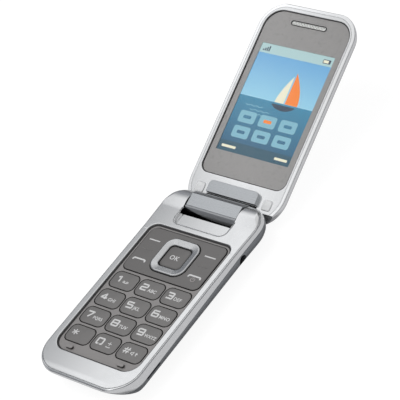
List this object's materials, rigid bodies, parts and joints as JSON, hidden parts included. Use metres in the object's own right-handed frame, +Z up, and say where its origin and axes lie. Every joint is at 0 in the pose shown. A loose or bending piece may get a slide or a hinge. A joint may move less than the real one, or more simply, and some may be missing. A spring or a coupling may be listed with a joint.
{
  "type": "flip phone",
  "caption": "Silver clamshell phone with keypad, navigation ring, hinged display lid and side headset socket.",
  "frame": {"origin": "centre of the flat back of the base", "axes": "+Y along the base towards the hinge, +X to the right, +Z up through the keys; the lid is open at rest"},
  "size_m": [0.0489, 0.1824, 0.0407],
  "materials": {
    "cover_silver": "plastic with silver paint, fine metallic flake, satin",
    "band_silver": "plastic with bright silver paint, gloss",
    "shell_silver": "plastic with darker silver-grey paint, satin",
    "keypad_grey": "warm grey moulded keypad web",
    "key_grey": "warm grey metallic key tops, semi-gloss",
    "ring_chrome": "bright satin chrome",
    "side_key": "plastic with silver paint",
    "brushed_metal": "brushed, lines across the phone",
    "rubber_clear": "pale translucent rubber",
    "mat_rubber": "silicone, matte",
    "window_glass": "clear acrylic with a silver-grey printed border",
    "camera_glass": "smoked acrylic, gloss",
    "display": "lit display, blue-green",
    "mesh_metal": "fine woven mesh",
    "board_green": "solder-resist green",
    "black_plastic": "black moulded plastic",
    "steel": "plain steel",
    "screw_steel": "blackened steel",
    "gold_contact": "gold-plated contacts",
    "dome_film": "clear film with steel domes",
    "battery_wrap": "dark grey plain wrap",
    "flex_film": "amber flexible circuit",
    "magnet_steel": "plated magnet"
  },
  "bodies": {
    "base": {"back_shell": "shell_silver", "battery_cover": "shell_silver", "battery": "battery_wrap", "battery_contacts": "gold_contact", "sim_holder": "steel", "main_board": "board_green", "shield_can": "steel", "dome_sheet": "dome_film", "key_mat": "mat_rubber", "keypad_frame": "keypad_grey", "front_cover": "cover_silver", "side_band": "band_silver", "keypad_stoppers": "keypad_grey", "audio_jack": "black_plastic", "usb_socket": "steel", "loudspeaker": "black_plastic", "microphone": "gold_contact", "vibration_motor": "steel", "antenna": "gold_contact", "base_screws": "screw_steel", "hinge_shaft": "steel", "hinge_bush": "steel"},
    "key_1": {"key_1": "key_grey"},
    "key_2": {"key_2": "key_grey"},
    "key_3": {"key_3": "key_grey"},
    "key_4": {"key_4": "key_grey"},
    "key_5": {"key_5": "key_grey"},
    "key_6": {"key_6": "key_grey"},
    "key_7": {"key_7": "key_grey"},
    "key_8": {"key_8": "key_grey"},
    "key_9": {"key_9": "key_grey"},
    "key_star": {"key_star": "key_grey"},
    "key_0": {"key_0": "key_grey"},
    "key_hash": {"key_hash": "key_grey"},
    "function_plate": {"function_plate": "key_grey"},
    "nav_actuator": {"nav_actuator": "mat_rubber"},
    "nav_ring": {"nav_ring": "ring_chrome"},
    "ok_key": {"ok_key": "key_grey"},
    "volume_key": {"volume_key": "side_key"},
    "lid": {"lid_inner_cover": "cover_silver", "lid_band": "band_silver", "lid_outer_cover": "shell_silver", "display_window": "window_glass", "lcd_module": "display", "lid_board": "board_green", "earpiece_mesh": "mesh_metal", "earpiece": "black_plastic", "neck_plate": "brushed_metal", "lid_knuckle": "shell_silver", "hinge_trim": "brushed_metal", "hinge_cartridge": "steel", "cam_follower": "gold_contact", "hinge_spring": "steel", "hinge_flex": "flex_film", "lid_bumpers": "rubber_clear", "lid_screws": "screw_steel", "lid_magnet": "magnet_steel", "camera_module": "black_plastic", "camera_ring": "ring_chrome", "camera_window": "camera_glass"}
  },
  "joints": [
    {"name": "lid_hinge", "type": "hinge", "parent": "base", "child": "lid", "pos_m": [0, 0.044, 0.0059], "axis": [1, 0, 0], "range_deg": [0, 157.1]},
    {"name": "key_1_press", "type": "slide", "parent": "base", "child": "key_1", "axis": [0, 0, -1], "range_m": [0, 0.00025], "stiffness_N_per_m": 500, "springref_m": -0.002},
    {"name": "key_2_press", "type": "slide", "parent": "base", "child": "key_2", "axis": [0, 0, -1], "range_m": [0, 0.00025], "stiffness_N_per_m": 500, "springref_m": -0.002},
    {"name": "key_3_press", "type": "slide", "parent": "base", "child": "key_3", "axis": [0, 0, -1], "range_m": [0, 0.00025], "stiffness_N_per_m": 500, "springref_m": -0.002},
    {"name": "key_4_press", "type": "slide", "parent": "base", "child": "key_4", "axis": [0, 0, -1], "range_m": [0, 0.00025], "stiffness_N_per_m": 500, "springref_m": -0.002},
    {"name": "key_5_press", "type": "slide", "parent": "base", "child": "key_5", "axis": [0, 0, -1], "range_m": [0, 0.00025], "stiffness_N_per_m": 500, "springref_m": -0.002},
    {"name": "key_6_press", "type": "slide", "parent": "base", "child": "key_6", "axis": [0, 0, -1], "range_m": [0, 0.00025], "stiffness_N_per_m": 500, "springref_m": -0.002},
    {"name": "key_7_press", "type": "slide", "parent": "base", "child": "key_7", "axis": [0, 0, -1], "range_m": [0, 0.00025], "stiffness_N_per_m": 500, "springref_m": -0.002},
    {"name": "key_8_press", "type": "slide", "parent": "base", "child": "key_8", "axis": [0, 0, -1], "range_m": [0, 0.00025], "stiffness_N_per_m": 500, "springref_m": -0.002},
    {"name": "key_9_press", "type": "slide", "parent": "base", "child": "key_9", "axis": [0, 0, -1], "range_m": [0, 0.00025], "stiffness_N_per_m": 500, "springref_m": -0.002},
    {"name": "key_star_press", "type": "slide", "parent": "base", "child": "key_star", "axis": [0, 0, -1], "range_m": [0, 0.00025], "stiffness_N_per_m": 500, "springref_m": -0.002},
    {"name": "key_0_press", "type": "slide", "parent": "base", "child": "key_0", "axis": [0, 0, -1], "range_m": [0, 0.00025], "stiffness_N_per_m": 500, "springref_m": -0.002},
    {"name": "key_hash_press", "type": "slide", "parent": "base", "child": "key_hash", "axis": [0, 0, -1], "range_m": [0, 0.00025], "stiffness_N_per_m": 500, "springref_m": -0.002},
    {"name": "ok_press", "type": "slide", "parent": "base", "child": "ok_key", "axis": [0, 0, -1], "range_m": [0, 0.00025], "stiffness_N_per_m": 500, "springref_m": -0.002},
    {"name": "function_plate_rock", "type": "hinge", "parent": "base", "child": "function_plate", "pos_m": [0, 0.01522, 0.0087], "axis": [1, 0, 0], "range_deg": [-1, 1], "stiffness_Nm_per_rad": 0.8},
    {"name": "nav_left_right", "type": "hinge", "parent": "base", "child": "nav_actuator", "pos_m": [0, 0.01522, 0.0072], "axis": [0, 1, 0], "range_deg": [-1.4, 1.4], "stiffness_Nm_per_rad": 0.4},
    {"name": "nav_up_down", "type": "hinge", "parent": "nav_actuator", "child": "nav_ring", "pos_m": [0, 0.01522, 0.0079], "axis": [1, 0, 0], "range_deg": [-1.4, 1.4], "stiffness_Nm_per_rad": 0.4},
    {"name": "volume_rock", "type": "hinge", "parent": "base", "child": "volume_key", "pos_m": [-0.0222, 0.008, 0.00775], "axis": [0, 0, 1], "range_deg": [-1.5, 1.5], "stiffness_Nm_per_rad": 0.2}
  ]
}
